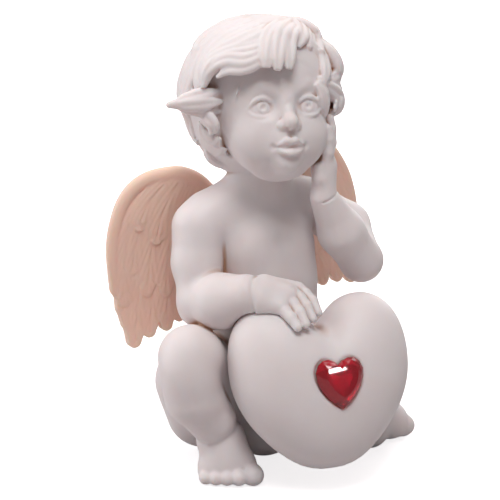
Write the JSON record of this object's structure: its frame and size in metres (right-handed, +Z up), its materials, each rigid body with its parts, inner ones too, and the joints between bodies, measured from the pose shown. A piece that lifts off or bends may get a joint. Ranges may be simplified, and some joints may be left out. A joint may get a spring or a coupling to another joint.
{
  "type": "cast resin figurine",
  "caption": "Seated winged cherub in off-white cast resin, one hand to its cheek, holding a puffed heart set with a faceted red stone.",
  "frame": {"origin": "at floor level, under the middle of the whole figurine", "axes": "+Z up, the figure faces -Y, +X is the figure's own left side"},
  "size_m": [0.0659, 0.0526, 0.0979],
  "materials": {
    "cast_resin": "matte",
    "wing_resin": "matte",
    "red_stone": "polished",
    "silver_foil": "polished",
    "clear_adhesive": "satin"
  },
  "bodies": {
    "root": {"figure_casting": "cast_resin", "heart_casting": "cast_resin", "right_wing": "wing_resin", "left_wing": "wing_resin", "heart_gem": "red_stone", "gem_foil": "silver_foil", "gem_adhesive": "clear_adhesive", "heart_adhesive": "clear_adhesive", "right_wing_adhesive": "clear_adhesive", "left_wing_adhesive": "clear_adhesive"}
  },
  "joints": []
}
